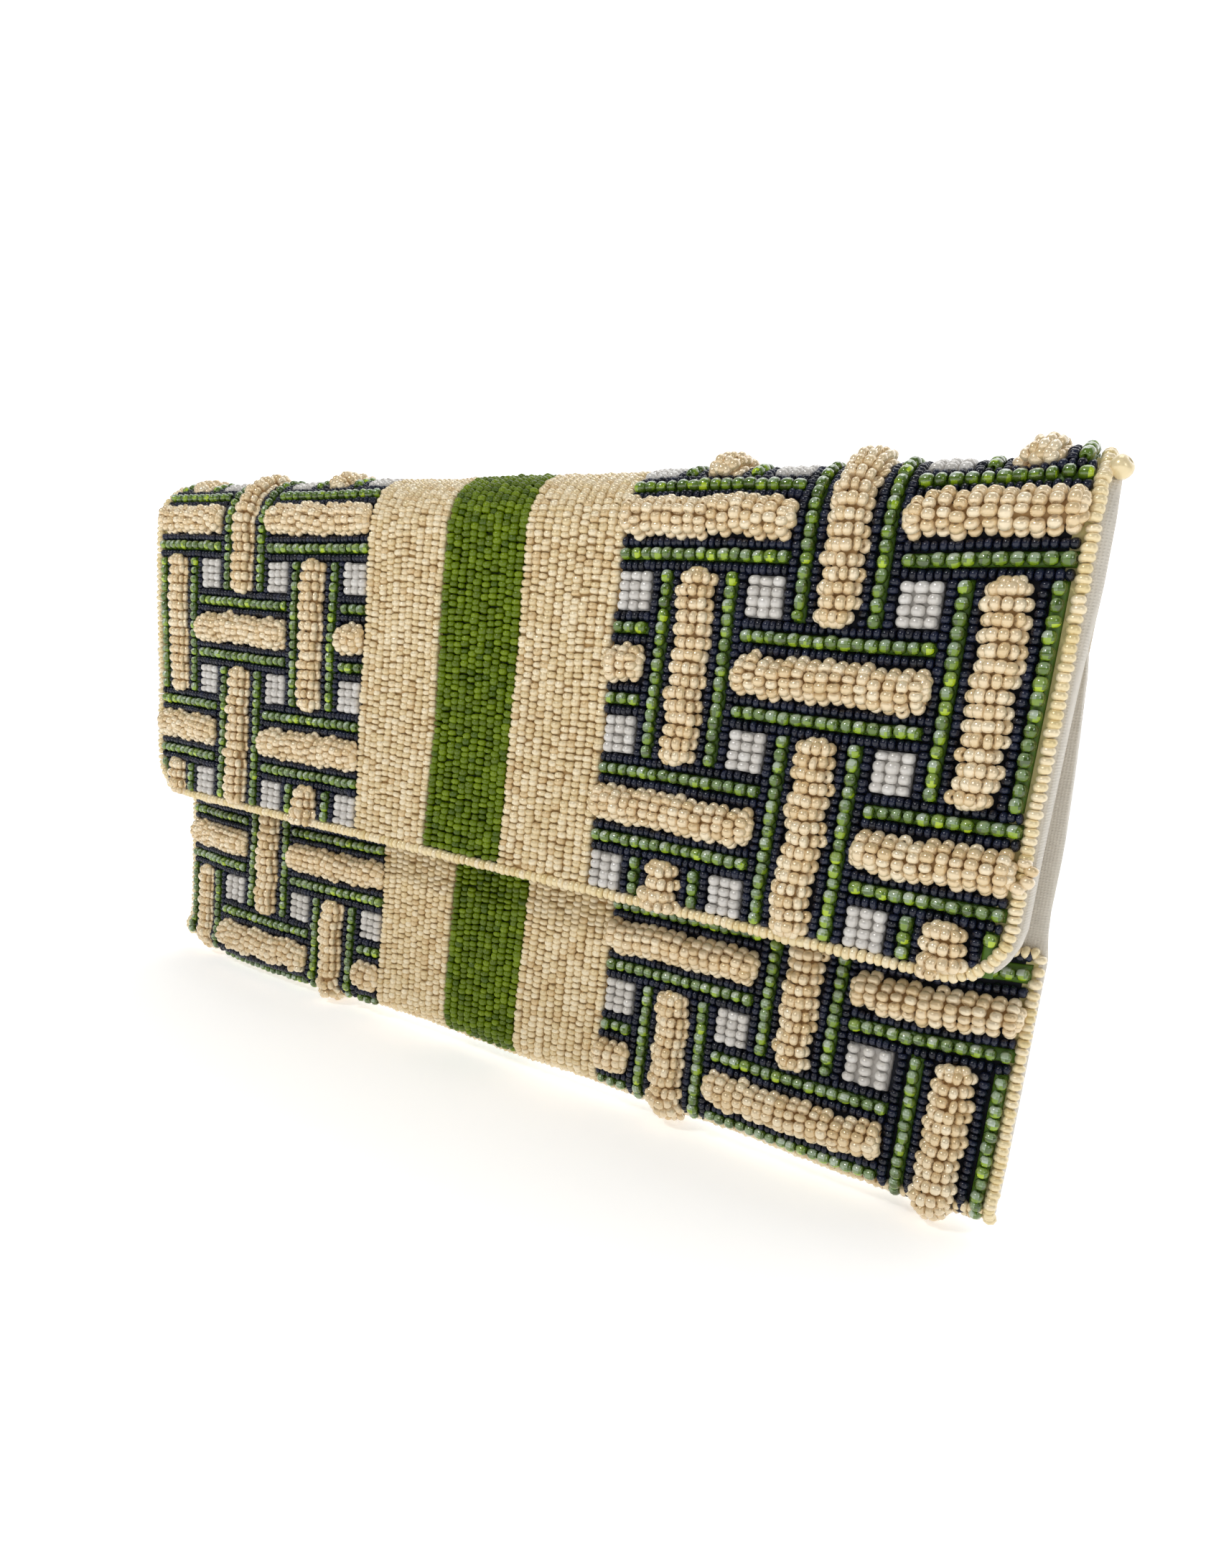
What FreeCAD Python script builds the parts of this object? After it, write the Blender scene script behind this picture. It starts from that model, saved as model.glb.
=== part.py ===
import FreeCAD, Part
import os

# Beaded fold-over clutch purse, in millimetres.
# X runs across the purse, Y from the flap (front) to the back, Z up from the surface it stands on.
# Four bodies: the pouch (back and bottom), its front panel, the strip over the top and the flap.

doc = FreeCAD.newDocument("clutch")
sheet = doc.addObject("Spreadsheet::Sheet", "Sizes")

SIZES = [
    ("pitch", 28.0, "distance between two neighbouring bundles of the woven pattern"),
    ("bundle", 20.0, "width of a bundle: raised bar and three bead lanes on each side"),
    ("bar_width", 8.0, "width of a raised bar"),
    ("bar_crown", 4.0, "width of a raised bar at its top"),
    ("bar_height", 3.0, "height of a raised bar above the bead surface"),
    ("plain_half", 35.6, "half width of the plain middle zone"),
    ("stripe_half", 11.25, "half width of the green stripe"),
    ("rim", 2.2, "width of the row of beads along the edges"),
    ("corner", 12.0, "radius of the flap's lower corners"),
    ("top", 137.0, "height of the bead surface over the top"),
    ("front_plane", 12.0, "front panel's bead surface behind the flap's bead surface"),
    ("depth", 25.0, "between the bead surfaces of the flap and of the back"),
    ("fold_inset", 2.7, "fold lines inside the corners of the bead surface"),
    ("flap_bottom", 50.5, "height of the flap's lower edge"),
    ("flap_row", 84.5, "height of the middle row of white squares on the flap"),
    ("front_top", 118.0, "height of the pouch's mouth at the front"),
    ("front_row", 25.6, "height of the front panel's row of white squares"),
    ("front_bead_top", 52.6, "height of the upper edge of the front panel's beads"),
    ("mouth_fold", 7.0, "height of the fold between bottom and front panel"),
    ("bead", 1.6, "thickness of the bead layer"),
    ("cloth", 0.4, "thickness of outer cloth and lining"),
    ("flap_board", 1.0, "thickness of the board in the flap"),
    ("board", 1.2, "thickness of the boards in the pouch"),
    ("wadding", 3.4, "thickness of the wadding in the flap"),
    ("slack", 0.3, "clearance between pieces that move apart"),
    ("seam", 0.1, "clearance round a set-in square of beads"),
    ("pleat", 11.0, "depth of the side gusset's inward fold"),
    ("gusset_top", 112.0, "height of the side gussets"),
    ("pocket_low", 40.0, "height of the slip pocket's seam"),
    ("pocket_high", 98.0, "height of the slip pocket's mouth"),
    ("pocket_half", 60.0, "half width of the slip pocket"),
    ("snap_height", 68.0, "height of the magnetic snap"),
    ("snap_radius", 9.0, "radius of both snap halves"),
    ("snap_thick", 3.2, "thickness of the snap's stud plate"),
    ("nub_radius", 3.0, "radius of the snap's stud"),
    ("nub_length", 2.0, "length of the snap's stud"),
    ("nub_play", 0.4, "clearance round the stud in its socket"),
    ("washer", 0.5, "thickness of the snap's back plates"),
    ("washer_radius", 7.5, "radius of the snap's back plates"),
]

for line, (name, value, note) in enumerate(SIZES, start=1):
    sheet.set("A%d" % line, note)
    sheet.set("B%d" % line, str(value))
    sheet.setAlias("B%d" % line, name)
doc.recompute()


class Size:
    """A length that knows its value and the sheet expression that gives it."""

    def __init__(self, value, text):
        self.value = value
        self.text = text

    def __add__(self, other):
        other = size(other)
        return Size(self.value + other.value, "(%s + %s)" % (self.text, other.text))

    def __sub__(self, other):
        other = size(other)
        return Size(self.value - other.value, "(%s - %s)" % (self.text, other.text))

    def __mul__(self, factor):
        return Size(self.value * factor, "(%s * %s)" % (self.text, factor))

    def __neg__(self):
        return Size(-self.value, "(0 - %s)" % self.text)


def size(thing):
    if isinstance(thing, Size):
        return thing
    return Size(float(thing), str(float(thing)))


S = {}
for name, value, note in SIZES:
    S[name] = Size(value, "Sizes.%s" % name)


def bind(thing, prop, amount):
    thing.setExpression(prop, size(amount).text)


def place(thing, x, y, z):
    bind(thing, "Placement.Base.x", x)
    bind(thing, "Placement.Base.y", y)
    bind(thing, "Placement.Base.z", z)


def box(name, x0, x1, y0, y1, z0, z1):
    thing = doc.addObject("Part::Box", name)
    bind(thing, "Length", size(x1) - x0)
    bind(thing, "Width", size(y1) - y0)
    bind(thing, "Height", size(z1) - z0)
    place(thing, x0, y0, z0)
    return thing


def rod(name, radius, x, y0, y1, z):
    """A cylinder along Y."""
    thing = doc.addObject("Part::Cylinder", name)
    thing.Placement = FreeCAD.Placement(FreeCAD.Vector(), FreeCAD.Rotation(FreeCAD.Vector(1, 0, 0), -90))
    bind(thing, "Radius", radius)
    bind(thing, "Height", size(y1) - y0)
    place(thing, x, y0, z)
    return thing


def fuse(name, parts):
    thing = doc.addObject("Part::MultiFuse", name)
    thing.Shapes = parts
    thing.Refine = True
    return thing


def cut(name, base, tool):
    thing = doc.addObject("Part::Cut", name)
    thing.Base = base
    thing.Tool = tool
    return thing


def common(name, one, two):
    thing = doc.addObject("Part::MultiCommon", name)
    thing.Shapes = [one, two]
    thing.Refine = True
    return thing


def group(name, parts):
    thing = doc.addObject("Part::Compound", name)
    thing.Links = parts
    return thing


nodes = []


def node(name, thing):
    thing.Label = name
    nodes.append((name, thing))
    return thing


zero = size(0)
half_bundle = S["bundle"] * 0.5
half_bar = S["bar_width"] * 0.5
half_gap = (S["pitch"] - S["bundle"]) * 0.5
half_depth = S["depth"] * 0.5

# planes across the depth
flap_y = -half_depth
front_y = flap_y + S["front_plane"]
back_y = half_depth
spine_z = S["top"]

# columns of the woven blocks, from the plain zone outwards
gap_first = S["plain_half"] + half_gap
column = [gap_first + S["pitch"] * (step + 0.5) for step in range(3)]
gap_column = [gap_first + S["pitch"] * step for step in range(3)]
block_out = column[2] + half_bundle
half_width = block_out + S["rim"]

# fold lines
fold_front_y = flap_y + S["fold_inset"]
fold_back_y = back_y - S["fold_inset"]
fold_z = S["top"] - S["fold_inset"]
play = S["slack"] * 0.5


def back_height(along):
    """Height on the back of a point whose height on the flattened front would be given."""
    return fold_z * 2 - along + (S["depth"] - S["fold_inset"] * 2)


def spine_depth(along):
    """Depth on the top strip of a point whose height on the flattened front would be given."""
    return fold_front_y + along - fold_z


def over(col, row):
    """True where the upright bundle passes over the level one."""
    return (col + row) % 2 == 1


def spans(low, high, holes):
    """What is left of low..high without the holes, in rising order."""
    found = []
    start = low
    for hole_low, hole_high in holes:
        if hole_low.value - start.value > 3.0:
            found.append((start, hole_low))
        if hole_high.value > start.value:
            start = hole_high
    if high.value - start.value > 3.0:
        found.append((start, high))
    return found


def woven(low, high, rows):
    """Rectangles (across low, across high, up low, up high, upright) of one block's raised bars.

    rows lists (height, number) of the level bundles, in rising order of height.
    """
    found = []
    for col in range(3):
        holes = []
        for height, number in rows:
            if not over(col, number):
                holes.append((height - half_bundle, height + half_bundle))
        for start, end in spans(low, high, holes):
            found.append((column[col] - half_bar, column[col] + half_bar, start, end, True))
    for height, number in rows:
        holes = []
        for col in range(3):
            if over(col, number):
                holes.append((column[col] - half_bundle, column[col] + half_bundle))
        for start, end in spans(S["plain_half"], block_out, holes):
            if (height + half_bar).value > high.value:
                if (height - half_bar).value > high.value - 3.0:
                    continue
                found.append((start, end, height - half_bar, high, False))
                continue
            if (height - half_bar).value < low.value:
                continue
            found.append((start, end, height - half_bar, height + half_bar, False))
    return found


def ridge(name, x0, x1, z0, z1, upright, base_y, outward):
    """A raised bar on a vertical face: full width at its base and narrower at its crown."""
    slope = (S["bar_width"] - S["bar_crown"]) * 0.5
    thing = doc.addObject("Part::Wedge", name)
    wide = {"x0": x0 + play, "x1": x1 - play, "z0": z0 + play, "z1": z1 - play}
    slim = dict(wide)
    if upright:
        slim["x0"] = wide["x0"] + slope
        slim["x1"] = wide["x1"] - slope
    else:
        slim["z0"] = wide["z0"] + slope
        slim["z1"] = wide["z1"] - slope
    near, far = (slim, wide) if outward < 0 else (wide, slim)
    y0 = base_y - S["bar_height"] if outward < 0 else base_y
    thing.Xmin = -1
    thing.Zmin = -1
    thing.Ymin = -1
    bind(thing, "Xmin", near["x0"])
    bind(thing, "Xmax", near["x1"])
    bind(thing, "Zmin", near["z0"])
    bind(thing, "Zmax", near["z1"])
    bind(thing, "X2min", far["x0"])
    bind(thing, "X2max", far["x1"])
    bind(thing, "Z2min", far["z0"])
    bind(thing, "Z2max", far["z1"])
    bind(thing, "Ymin", y0)
    bind(thing, "Ymax", y0 + S["bar_height"])
    return thing


def mirrored(rect):
    x0, x1, z0, z1, upright = rect
    return (-x1, -x0, z0, z1, upright)


def face_bars(name, rects, base_y, outward):
    parts = []
    for number, rect in enumerate(rects + [mirrored(rect) for rect in rects]):
        x0, x1, z0, z1, upright = rect
        parts.append(ridge("%s_%d" % (name, number), x0, x1, z0, z1, upright, base_y, outward))
    return node(name, group(name, parts))


def rounded(name, half, low, high, y0, y1, radius):
    """A plate across the purse with two rounded lower corners."""
    upper = box(name + "_upper", -half, half, y0, y1, low + radius, high)
    lower = box(name + "_lower", -(half - radius), half - radius, y0, y1, low, low + radius)
    left = rod(name + "_left", radius, -(half - radius), y0, y1, low + radius)
    right = rod(name + "_right", radius, half - radius, y0, y1, low + radius)
    return fuse(name, [upper, lower, left, right])


def squares(name, heights, y0, y1, low=None):
    """Sets of white beads in the gaps of both blocks: a list of boxes and one of their windows.

    Squares that would reach below the height low end there.
    """
    fills = []
    windows = []
    for side in (-1, 1):
        for col, middle in enumerate(gap_column):
            for row, height in enumerate(heights):
                x0 = middle * side - half_gap
                x1 = middle * side + half_gap
                z0 = height - half_gap
                z1 = height + half_gap
                if low is not None and z0.value < low.value:
                    z0 = low
                tag = "%s_%s%d%d" % (name, "l" if side < 0 else "r", col, row)
                windows.append(box(tag + "_window", x0, x1, y0, y1, z0, z1))
                fills.append(box(tag, x0 + S["seam"], x1 - S["seam"], y0, y1, z0 + S["seam"], z1 - S["seam"]))
    return fills, windows


def block(name, side, low, high, y0, y1, windows, shape=None):
    """The lanes of one woven block as a sheet of beads with windows for the white squares."""
    inner = S["plain_half"] + play
    if side > 0:
        plate = box(name + "_plate", inner, block_out, y0, y1, low, high)
    else:
        plate = box(name + "_plate", -block_out, -inner, y0, y1, low, high)
    if shape is not None:
        plate = common(name + "_trim", plate, shape)
    hole = fuse(name + "_windows", windows)
    return node(name, cut(name, plate, hole))


def plain(name, low, high, y0, y1):
    """The plain zone: beige on both sides of the green stripe."""
    left = box(name + "_left", -S["plain_half"], -S["stripe_half"], y0, y1, low, high)
    right = box(name + "_right", S["stripe_half"], S["plain_half"], y0, y1, low, high)
    node(name + "_plain_beads", group(name + "_plain_beads", [left, right]))
    stripe = box(name + "_stripe", -S["stripe_half"] + play, S["stripe_half"] - play, y0, y1, low, high)
    node(name + "_stripe_beads", stripe)


# ---------------------------------------------------------------- flap
outer_top = fold_z - play
inner_top = S["top"] - S["bead"] - S["cloth"] * 2 - S["flap_board"] - S["wadding"] - S["slack"]
flap_in = flap_y + S["bead"]
board_y = flap_in + S["cloth"]
wad_y = board_y + S["flap_board"]
lining_y = wad_y + S["wadding"]
flap_back = lining_y + S["cloth"]
bead_low = S["flap_bottom"] + S["rim"]
bead_corner = S["corner"] - S["rim"]

node("flap_cloth", rounded("flap_cloth", half_width - 0.4, S["flap_bottom"] + 0.4, outer_top,
                           flap_in, board_y, S["corner"] - 0.4))
flap_board_top = fold_z - S["flap_board"] - S["seam"]
node("flap_board", rounded("flap_board", half_width - 1.0, S["flap_bottom"] + 1.0, flap_board_top,
                           board_y, wad_y, S["corner"] - 1.0))
wad = rounded("wad_plate", half_width - 1.0, S["flap_bottom"] + 1.0, inner_top, wad_y, lining_y,
              S["corner"] - 1.0)
wad_hole = rod("wad_hole", S["washer_radius"] + 0.1, zero, wad_y, wad_y + S["washer"] + 0.1, S["snap_height"])
node("flap_wadding", cut("flap_wadding", wad, wad_hole))
node("flap_lining", rounded("flap_lining", half_width - 0.4, S["flap_bottom"] + 0.4, inner_top,
                            lining_y, flap_back, S["corner"] - 0.4))

rim_outer = rounded("rim_outer", half_width, S["flap_bottom"], outer_top, flap_y, flap_in, S["corner"])
rim_inner = rounded("rim_inner", block_out, bead_low, outer_top + 5.0, flap_y - 1.0, flap_in + 1.0, bead_corner)
node("flap_edging", cut("flap_edging", rim_outer, rim_inner))

plain("flap", bead_low + play, outer_top, flap_y, flap_in)
flap_rows = [(S["flap_row"] + S["pitch"] * (step - 0.5), 2 - step) for step in range(3)]
flap_gaps = [S["flap_row"] + S["pitch"] * (step - 1) for step in range(3)]
flap_fills, flap_windows = squares("flap_white_beads", flap_gaps, flap_y, flap_in, bead_low + play)
trim_plate = rounded("flap_trim", block_out - play, bead_low + play, outer_top, flap_y, flap_in,
                     bead_corner - play)
half_count = len(flap_windows) // 2
block("flap_lanes_left", -1, bead_low, outer_top, flap_y, flap_in, flap_windows[:half_count], trim_plate)
block("flap_lanes_right", 1, bead_low, outer_top, flap_y, flap_in, flap_windows[half_count:], trim_plate)
node("flap_white_beads", group("flap_white_beads", flap_fills))
flap_rects = woven(bead_low + 0.8, outer_top, flap_rows)
face_bars("flap_bars", flap_rects, flap_y, -1)

stud_plate = rod("stud_plate", S["snap_radius"], zero, flap_back, flap_back + S["snap_thick"], S["snap_height"])
stud_nub = rod("stud_nub", S["nub_radius"], zero, flap_back + S["snap_thick"],
               flap_back + S["snap_thick"] + S["nub_length"], S["snap_height"])
node("snap_stud", fuse("snap_stud", [stud_plate, stud_nub]))
node("snap_stud_washer", rod("snap_stud_washer", S["washer_radius"], zero, wad_y, wad_y + S["washer"],
                             S["snap_height"]))

# ---------------------------------------------------------------- strip over the top
spine_y0 = fold_front_y + play
spine_y1 = fold_back_y - play
spine_bead = S["top"] - S["bead"]
spine_cloth = spine_bead - S["cloth"]
spine_board = spine_cloth - S["flap_board"]
spine_lining = spine_board - S["cloth"]
node("spine_cloth", box("spine_cloth", -(half_width - 0.4), half_width - 0.4, spine_y0, spine_y1,
                        spine_cloth, spine_bead))
node("spine_stiffener", box("spine_stiffener", -(half_width - 1.0), half_width - 1.0, spine_y0 + 0.5,
                            spine_y1 - 0.5, spine_board, spine_cloth))
node("spine_lining", box("spine_lining", -(half_width - 0.4), half_width - 0.4, spine_y0, spine_y1,
                         spine_lining, spine_board))
rim_left = box("spine_rim_left", -half_width, -block_out, spine_y0, spine_y1, spine_bead, S["top"])
rim_right = box("spine_rim_right", block_out, half_width, spine_y0, spine_y1, spine_bead, S["top"])
node("spine_edging", group("spine_edging", [rim_left, rim_right]))
left = box("spine_plain_left", -S["plain_half"], -S["stripe_half"], spine_y0, spine_y1, spine_bead, S["top"])
right = box("spine_plain_right", S["stripe_half"], S["plain_half"], spine_y0, spine_y1, spine_bead, S["top"])
node("spine_plain_beads", group("spine_plain_beads", [left, right]))
node("spine_stripe_beads", box("spine_stripe", -S["stripe_half"] + play, S["stripe_half"] - play,
                               spine_y0, spine_y1, spine_bead, S["top"]))
top_gap = S["flap_row"] + S["pitch"] * 2
gap_near = spine_depth(top_gap - half_gap)
gap_far = spine_depth(top_gap + half_gap)
spine_fills = []
spine_windows = []
for side in (-1, 1):
    for col, middle in enumerate(gap_column):
        tag = "spine_white_%s%d" % ("l" if side < 0 else "r", col)
        x0 = middle * side - half_gap
        x1 = middle * side + half_gap
        spine_windows.append(box(tag + "_window", x0, x1, gap_near, gap_far, spine_bead, S["top"]))
        spine_fills.append(box(tag, x0 + S["seam"], x1 - S["seam"], gap_near + S["seam"],
                               gap_far - S["seam"], spine_bead, S["top"]))
inner = S["plain_half"] + play
plate = box("spine_lanes_left_plate", -block_out, -inner, spine_y0, spine_y1, spine_bead, S["top"])
node("spine_lanes_left", cut("spine_lanes_left", plate, fuse("spine_windows_left", spine_windows[:3])))
plate = box("spine_lanes_right_plate", inner, block_out, spine_y0, spine_y1, spine_bead, S["top"])
node("spine_lanes_right", cut("spine_lanes_right", plate, fuse("spine_windows_right", spine_windows[3:])))
node("spine_white_beads", group("spine_white_beads", spine_fills))


def top_ridge(name, x0, x1, y0, y1):
    """A raised bar that runs front to back over the top strip."""
    slope = (S["bar_width"] - S["bar_crown"]) * 0.5
    thing = doc.addObject("Part::Wedge", name)
    thing.Placement = FreeCAD.Placement(FreeCAD.Vector(), FreeCAD.Rotation(FreeCAD.Vector(1, 0, 0), 90))
    thing.Xmin = -1
    thing.Zmin = -1
    bind(thing, "Xmin", x0 + play)
    bind(thing, "Xmax", x1 - play)
    bind(thing, "X2min", x0 + play + slope)
    bind(thing, "X2max", x1 - play - slope)
    bind(thing, "Ymin", S["top"])
    bind(thing, "Ymax", S["top"] + S["bar_height"])
    bind(thing, "Zmin", -(size(y1)))
    bind(thing, "Zmax", -(size(y0)))
    bind(thing, "Z2min", -(size(y1)))
    bind(thing, "Z2max", -(size(y0)))
    return thing


spine_bars = []
for side in (-1, 1):
    for col in range(3):
        middle = column[col] * side
        if over(col, 0):
            y0 = spine_y0
            y1 = gap_far
        else:
            y0 = gap_near
            y1 = spine_y1
        tag = "spine_bar_%s%d" % ("l" if side < 0 else "r", col)
        spine_bars.append(top_ridge(tag, middle - half_bar, middle + half_bar, y0 + play, y1 - play))
node("spine_bars", group("spine_bars", spine_bars))

# ---------------------------------------------------------------- back of the pouch
back_in = back_y - S["bead"]
back_cloth = back_in - S["cloth"]
back_board = back_cloth - S["board"]
back_lining = back_board - S["cloth"]
back_top = fold_z - play
back_inner_top = inner_top
floor_bead = S["bar_height"]
floor_cloth = floor_bead + S["bead"]
floor_board = floor_cloth + S["cloth"]
floor_top = floor_board + S["board"]
riser = S["mouth_fold"] - S["slack"]
back_low = floor_cloth
node("back_cloth", box("back_cloth", -(half_width - 0.4), half_width - 0.4, back_cloth, back_in,
                       floor_cloth, back_top))
node("back_board", box("back_board", -(half_width - 1.0), half_width - 1.0, back_board, back_cloth,
                       floor_board, back_inner_top))
node("back_lining", box("back_lining", -(half_width - 0.4), half_width - 0.4, back_lining, back_board,
                        floor_top, back_inner_top))
rim_left = box("back_rim_left", -half_width, -block_out, back_in, back_y, back_low, back_top)
rim_right = box("back_rim_right", block_out, half_width, back_in, back_y, back_low, back_top)
node("back_edging", group("back_edging", [rim_left, rim_right]))
plain("back", back_low, back_top, back_in, back_y)
back_rows = []
for number in range(5, 0, -1):
    along = S["flap_row"] + S["pitch"] * (number + 1.5)
    back_rows.append((back_height(along), number))
back_gaps = [back_height(S["flap_row"] + S["pitch"] * (number + 3)) for number in range(4)]
back_fills, back_windows = squares("back_white_beads", back_gaps, back_in, back_y)
half_count = len(back_windows) // 2
block("back_lanes_left", -1, back_low, back_top, back_in, back_y, back_windows[:half_count])
block("back_lanes_right", 1, back_low, back_top, back_in, back_y, back_windows[half_count:])
node("back_white_beads", group("back_white_beads", back_fills))
face_bars("back_bars", woven(riser, back_top, back_rows), back_y, 1)

pocket_back = back_lining - S["cloth"]
pocket_front = pocket_back - S["cloth"]
pocket_seams = [
    box("pocket_sheet", -S["pocket_half"], S["pocket_half"], pocket_front, pocket_back,
        S["pocket_low"], S["pocket_high"]),
    box("pocket_seam_low", -S["pocket_half"], S["pocket_half"], pocket_back, back_lining,
        S["pocket_low"], S["pocket_low"] + 4.0),
    box("pocket_seam_left", -S["pocket_half"], -S["pocket_half"] + 4.0, pocket_back, back_lining,
        S["pocket_low"], S["pocket_high"]),
    box("pocket_seam_right", S["pocket_half"] - 4.0, S["pocket_half"], pocket_back, back_lining,
        S["pocket_low"], S["pocket_high"]),
]
node("slip_pocket", fuse("slip_pocket", pocket_seams))

# ---------------------------------------------------------------- front panel of the pouch
front_in = front_y + S["bead"]
front_board = front_in + S["cloth"]
front_lining = front_board + S["board"]
front_back = front_lining + S["cloth"]
front_low = S["mouth_fold"] + S["slack"]
node("front_cloth", box("front_cloth", -(half_width - 0.4), half_width - 0.4, front_in, front_board,
                        front_low, S["front_top"]))
board_plate = box("front_board_plate", -(half_width - 1.0), half_width - 1.0, front_board, front_lining,
                  front_low, S["front_top"] - 0.6)
board_recess = rod("front_board_recess", S["washer_radius"] + 0.1, zero, front_lining - S["washer"],
                   front_lining + 1.0, S["snap_height"])
node("front_board", cut("front_board", board_plate, board_recess))
node("snap_socket_washer", rod("snap_socket_washer", S["washer_radius"], zero,
                               front_lining - S["washer"], front_lining, S["snap_height"]))
node("front_lining", box("front_lining", -(half_width - 0.4), half_width - 0.4, front_lining, front_back,
                         front_low, S["front_top"]))
bead_top = S["front_bead_top"]
rim_low = bead_top - S["rim"]
rim_top = box("front_rim_top", -half_width, half_width, front_y, front_in, rim_low, bead_top)
rim_left = box("front_rim_left", -half_width, -block_out, front_y, front_in, front_low, bead_top)
rim_right = box("front_rim_right", block_out, half_width, front_y, front_in, front_low, bead_top)
node("front_edging", fuse("front_edging", [rim_top, rim_left, rim_right]))
plain("front", front_low, rim_low, front_y, front_in)
front_rows = [(S["front_row"] - S["pitch"] * 0.5, 1), (S["front_row"] + S["pitch"] * 0.5, 0)]
front_fills, front_windows = squares("front_white_beads", [S["front_row"]], front_y, front_in)
half_count = len(front_windows) // 2
block("front_lanes_left", -1, front_low, rim_low, front_y, front_in, front_windows[:half_count])
block("front_lanes_right", 1, front_low, rim_low, front_y, front_in, front_windows[half_count:])
node("front_white_beads", group("front_white_beads", front_fills))
face_bars("front_bars", woven(front_low, rim_low, front_rows), front_y, -1)

socket_front = flap_back + S["snap_thick"] + S["slack"]
socket_disc = rod("socket_disc", S["snap_radius"], zero, socket_front, front_in, S["snap_height"])
socket_hole = rod("socket_hole", S["nub_radius"] + S["nub_play"], zero, socket_front - 1.0,
                  socket_front + S["nub_length"] + 0.3, S["snap_height"])
node("snap_socket", cut("snap_socket", socket_disc, socket_hole))

# ---------------------------------------------------------------- bottom and gussets
floor_y0 = front_y + 0.6
node("bottom_cloth", box("bottom_cloth", -(half_width - 0.4), half_width - 0.4, front_in + 0.2, back_cloth,
                         floor_cloth, floor_board))
node("bottom_board", box("bottom_board", -(half_width - 1.0), half_width - 1.0, front_board + 0.2,
                         back_board, floor_board, floor_top))
node("bottom_lining", box("bottom_lining", -(half_width - 1.0), half_width - 1.0, front_lining + 0.2,
                          back_lining, floor_top, floor_top + S["cloth"]))
node("bottom_beads", group("bottom_beads", [
    box("bottom_left", -half_width, -S["stripe_half"], floor_y0, back_in, floor_bead, floor_cloth),
    box("bottom_right", S["stripe_half"], half_width, floor_y0, back_in, floor_bead, floor_cloth)]))
node("bottom_stripe_beads", box("bottom_stripe", -S["stripe_half"] + play, S["stripe_half"] - play,
                                floor_y0, back_in, floor_bead, floor_cloth))
feet = []
foot_y0 = front_y - S["bar_height"] + 0.4
foot_y1 = back_y + S["bar_height"] - 0.4
for side in (-1, 1):
    for col in (0, 2):
        middle = column[col] * side
        tag = "foot_%s%d" % ("l" if side < 0 else "r", col)
        x0 = middle - half_bar
        x1 = middle + half_bar
        sole = box(tag + "_sole", x0, x1, foot_y0, foot_y1, zero, floor_bead)
        toe = box(tag + "_toe", x0, x1, foot_y0, front_y, zero, riser)
        heel = box(tag + "_heel", x0, x1, back_y, foot_y1, zero, riser)
        feet.append(fuse(tag, [sole, toe, heel]))
node("bottom_bars", group("bottom_bars", feet))


def gusset(name, side):
    """A pleat between front and back, drawn as an inward V and swept upwards."""
    body = doc.addObject("PartDesign::Body", name)
    sketch = body.newObject("Sketcher::SketchObject", name + "_outline")
    for feature in body.Origin.OriginFeatures:
        if feature.Role == "XY_Plane":
            sketch.AttachmentSupport = [(feature, "")]
    sketch.MapMode = "FlatFace"
    thick = S["cloth"].value
    y_near = (front_back + S["slack"]).value
    y_far = back_lining.value
    x_out = (half_width - 1.0).value
    x_in = x_out - S["pleat"].value
    middle = (y_near + y_far) * 0.5
    corners = [(x_out, y_near), (x_in, middle - 0.2), (x_in, middle + 0.2), (x_out, y_far),
               (x_out, y_far - thick * 1.2), (x_in + thick * 3.0, middle), (x_out, y_near + thick * 1.2)]
    points = [FreeCAD.Vector(side * x, y, 0) for x, y in corners]
    for here, there in zip(points, points[1:] + points[:1]):
        sketch.addGeometry(Part.LineSegment(here, there), False)
    pad = body.newObject("PartDesign::Pad", name + "_pad")
    pad.Profile = sketch
    bind(pad, "Length", S["gusset_top"] - floor_top - 1.0)
    bind(body, "Placement.Base.z", floor_top + 1.0)
    body.Tip = pad
    return body


node("gusset_left", gusset("gusset_left", -1))
node("gusset_right", gusset("gusset_right", 1))

doc.recompute()

for thing in doc.Objects:
    if "Invalid" in thing.State or "Error" in thing.State:
        raise RuntimeError("%s did not recompute: %s" % (thing.Label, thing.State))
    if hasattr(thing, "Shape") and thing.TypeId.startswith(("Part::", "PartDesign::")):
        if thing.Shape.isNull() or not thing.Shape.isValid():
            raise RuntimeError("%s has no valid shape" % thing.Label)

os.makedirs("parts", exist_ok=True)
for name, thing in nodes:
    thing.Shape.exportStep("parts/%s.step" % name)
    print("%s solids %d volume %.1f" % (name, len(thing.Shape.Solids), thing.Shape.Volume))
print("nodes", len(nodes))
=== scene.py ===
"""Beaded fold-over clutch purse: bead work, padded flap and cloth shells round the CAD frame.

Places on the purse are given on one strip of cloth that runs up the flap, over the top, down the
back, round the bottom and up the front panel: (across, along, lift) in millimetres. "across" is
X, "along" is the length on the strip, and equals the height Z on the flap, and "lift" is the
height over the bead surface. spot() turns them into a place in the frame.
"""
import math

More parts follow.
